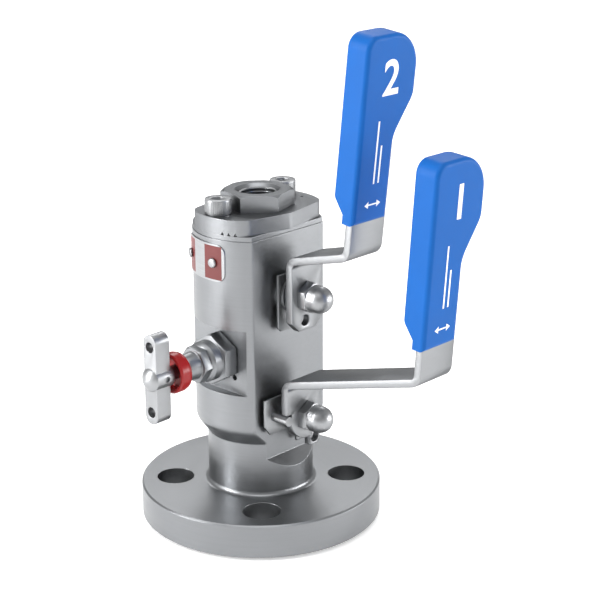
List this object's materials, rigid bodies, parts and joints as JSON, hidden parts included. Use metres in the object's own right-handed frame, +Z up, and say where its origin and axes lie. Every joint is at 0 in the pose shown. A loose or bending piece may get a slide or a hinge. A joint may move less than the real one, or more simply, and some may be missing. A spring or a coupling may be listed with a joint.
{
  "type": "instrument valve manifold",
  "caption": "Flanged round-bodied double block and bleed valve: two lever-operated ball valves in line and a needle bleed valve with a tee handle.",
  "frame": {"origin": "centre of the raised face that the flange rests on", "axes": "+Z up along the flow bore, +X out of the flat that carries the two levers, -Y along the bleed valve"},
  "size_m": [0.1867, 0.1391, 0.2597],
  "materials": {
    "body_steel": "turned and satin brushed stainless steel",
    "turned_steel": "fine turned stainless steel",
    "sheet_steel": "smooth stainless sheet",
    "fastener_steel": "bright stainless steel",
    "ball_steel": "polished",
    "label_plate": "satin, red printed ends",
    "grip_blue": "smooth moulded, blue",
    "cap_red": "smooth moulded, red",
    "seat_plastic": "machined, beige",
    "packing": "pressed graphite",
    "seal_rubber": "moulded rubber"
  },
  "bodies": {
    "body": {"bleed_bonnet": "turned_steel", "bleed_lock_pin": "fastener_steel", "bleed_packing": "packing", "bleed_packing_nut": "fastener_steel", "flow_spacer": "turned_steel", "name_plate": "label_plate", "name_plate_rivets": "fastener_steel", "outlet_connector": "turned_steel", "outlet_seal": "seal_rubber", "plate_screws": "fastener_steel", "primary_disc_springs": "sheet_steel", "primary_gland_flange": "turned_steel", "primary_gland_nut": "fastener_steel", "primary_seats": "seat_plastic", "primary_stem_packing": "packing", "primary_stop_pin": "fastener_steel", "primary_stop_plate": "sheet_steel", "primary_thrust_washer": "seat_plastic", "retaining_plate": "turned_steel", "secondary_disc_springs": "sheet_steel", "secondary_gland_flange": "turned_steel", "secondary_gland_nut": "fastener_steel", "secondary_seats": "seat_plastic", "secondary_stem_packing": "packing", "secondary_stop_plate": "sheet_steel", "secondary_thrust_washer": "seat_plastic", "spacer_ring": "turned_steel", "valve_body": "body_steel"},
    "primary_handle": {"primary_ball": "ball_steel", "primary_stem": "turned_steel", "primary_lever": "sheet_steel", "primary_grip": "grip_blue", "primary_cap_nut": "fastener_steel"},
    "secondary_handle": {"secondary_ball": "ball_steel", "secondary_stem": "turned_steel", "secondary_lever": "sheet_steel", "secondary_grip": "grip_blue", "secondary_cap_nut": "fastener_steel"},
    "bleed_needle": {"bleed_needle": "turned_steel"},
    "bleed_handle": {"bleed_spindle": "turned_steel", "bleed_dust_cap": "cap_red", "bleed_tee_handle": "turned_steel", "bleed_set_screw": "fastener_steel"}
  },
  "joints": [
    {"name": "primary_turn", "type": "hinge", "parent": "body", "child": "primary_handle", "pos_m": [0, 0, 0.0616], "axis": [-1, 0, 0], "range_deg": [0, 90]},
    {"name": "secondary_turn", "type": "hinge", "parent": "body", "child": "secondary_handle", "pos_m": [0, 0, 0.1244], "axis": [-1, 0, 0], "range_deg": [0, 90]},
    {"name": "bleed_travel", "type": "slide", "parent": "body", "child": "bleed_needle", "axis": [0, -1, 0], "range_m": [0, 0.00375]},
    {"name": "bleed_turn", "type": "hinge", "parent": "bleed_needle", "child": "bleed_handle", "pos_m": [0, 0, 0.0926], "axis": [0, -1, 0], "range_deg": [0, 1080]}
  ],
  "couplings": [
    {"joint": "bleed_travel", "follows": "bleed_turn", "m_per_rad": 0.00019894}
  ]
}
